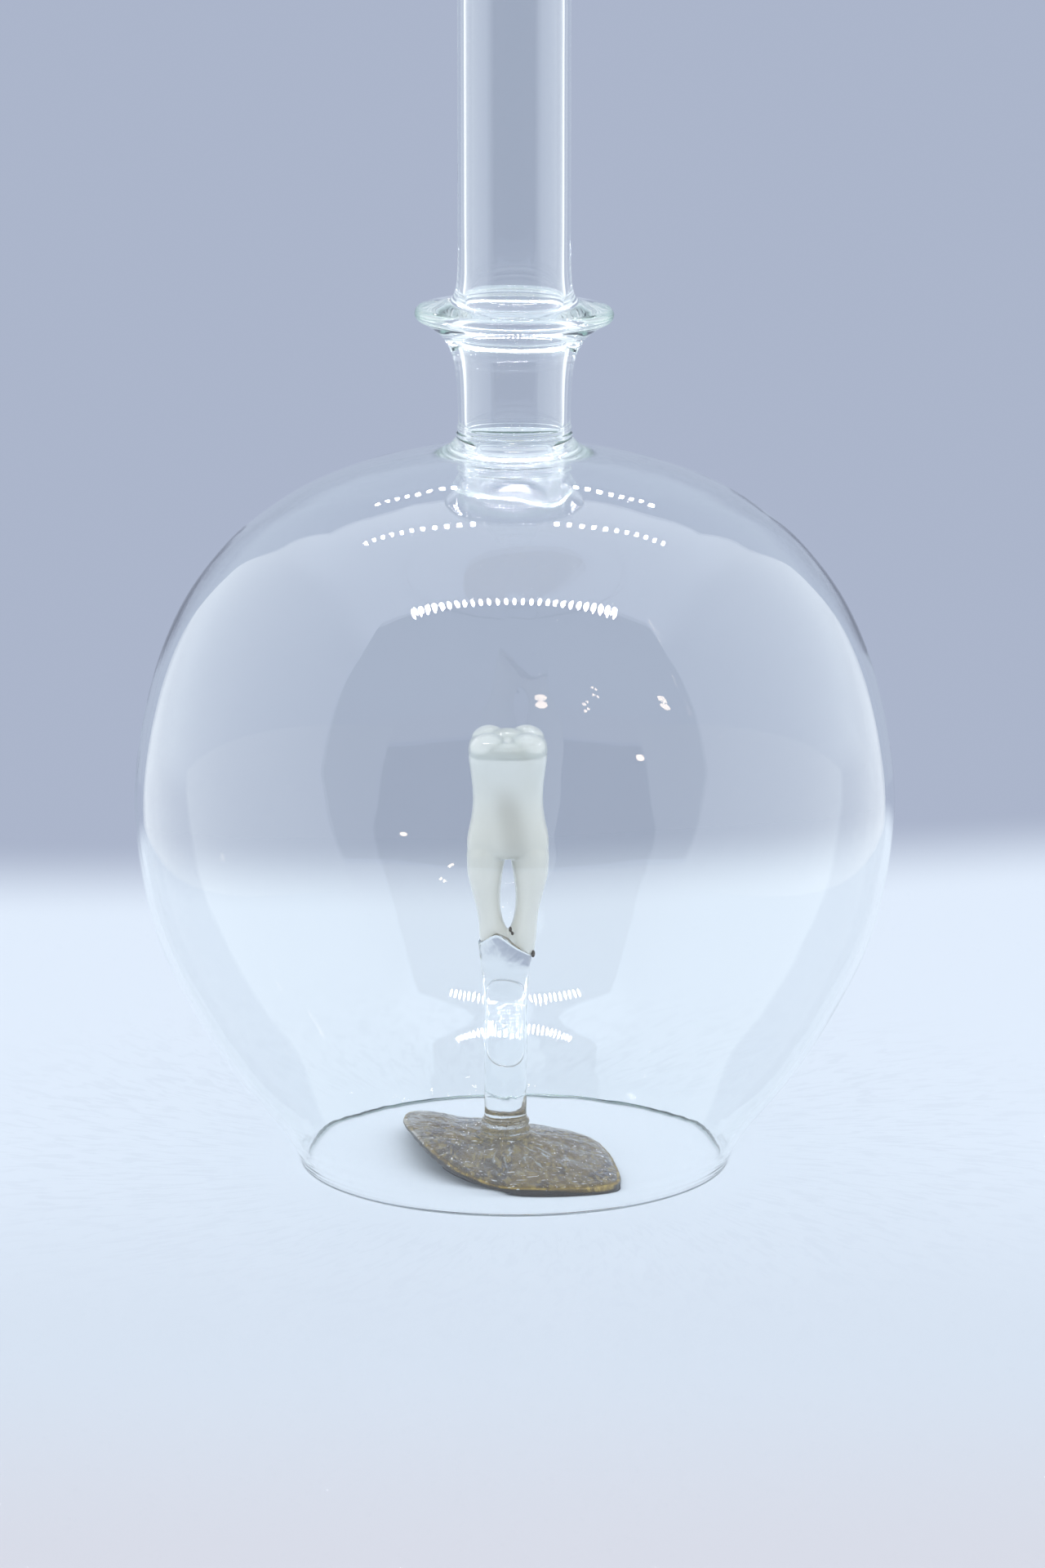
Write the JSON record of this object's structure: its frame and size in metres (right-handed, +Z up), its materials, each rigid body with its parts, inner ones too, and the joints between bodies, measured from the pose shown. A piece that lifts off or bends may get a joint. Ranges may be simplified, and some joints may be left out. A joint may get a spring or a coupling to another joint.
{
  "type": "glass display cloche",
  "caption": "Clear blown-glass globe cloche with an open foot, collared neck and long hollow tube, over an opal molar on a clear stem and brown oval foot.",
  "frame": {"origin": "centre of the cloche's rim circle, on the surface that the rim and the stand's foot rest on", "axes": "+Z up along the axis of the globe, neck and tube; +Y away from the front; +X to the right seen from the front"},
  "size_m": [0.1508, 0.1508, 0.26],
  "materials": {
    "clear_glass": "clear, polished",
    "edge_glass": "clear and polished, pale green where it is thick",
    "opal_glass": "milky white glass, glossy",
    "brown_glass": "mottled amber-brown glass, glossy"
  },
  "bodies": {
    "stand": {"foot_plate": "brown_glass", "foot_puddle": "clear_glass", "stem_collar": "clear_glass", "stem_rod": "clear_glass", "root_socket": "clear_glass", "molar_tooth": "opal_glass", "crown_cap": "clear_glass"},
    "cloche": {"rim_ring": "edge_glass", "globe_foot": "clear_glass", "globe_lower": "clear_glass", "globe_upper": "clear_glass", "globe_shoulder": "clear_glass", "globe_crown": "clear_glass", "drip_sleeve": "clear_glass", "neck_tube": "clear_glass", "collar_ring": "edge_glass", "upper_tube": "clear_glass", "lip_ring": "clear_glass"}
  },
  "joints": [
    {"name": "cloche_lift", "type": "slide", "parent": "stand", "child": "cloche", "axis": [0, 0, 1], "range_m": [0, 0.1]}
  ]
}
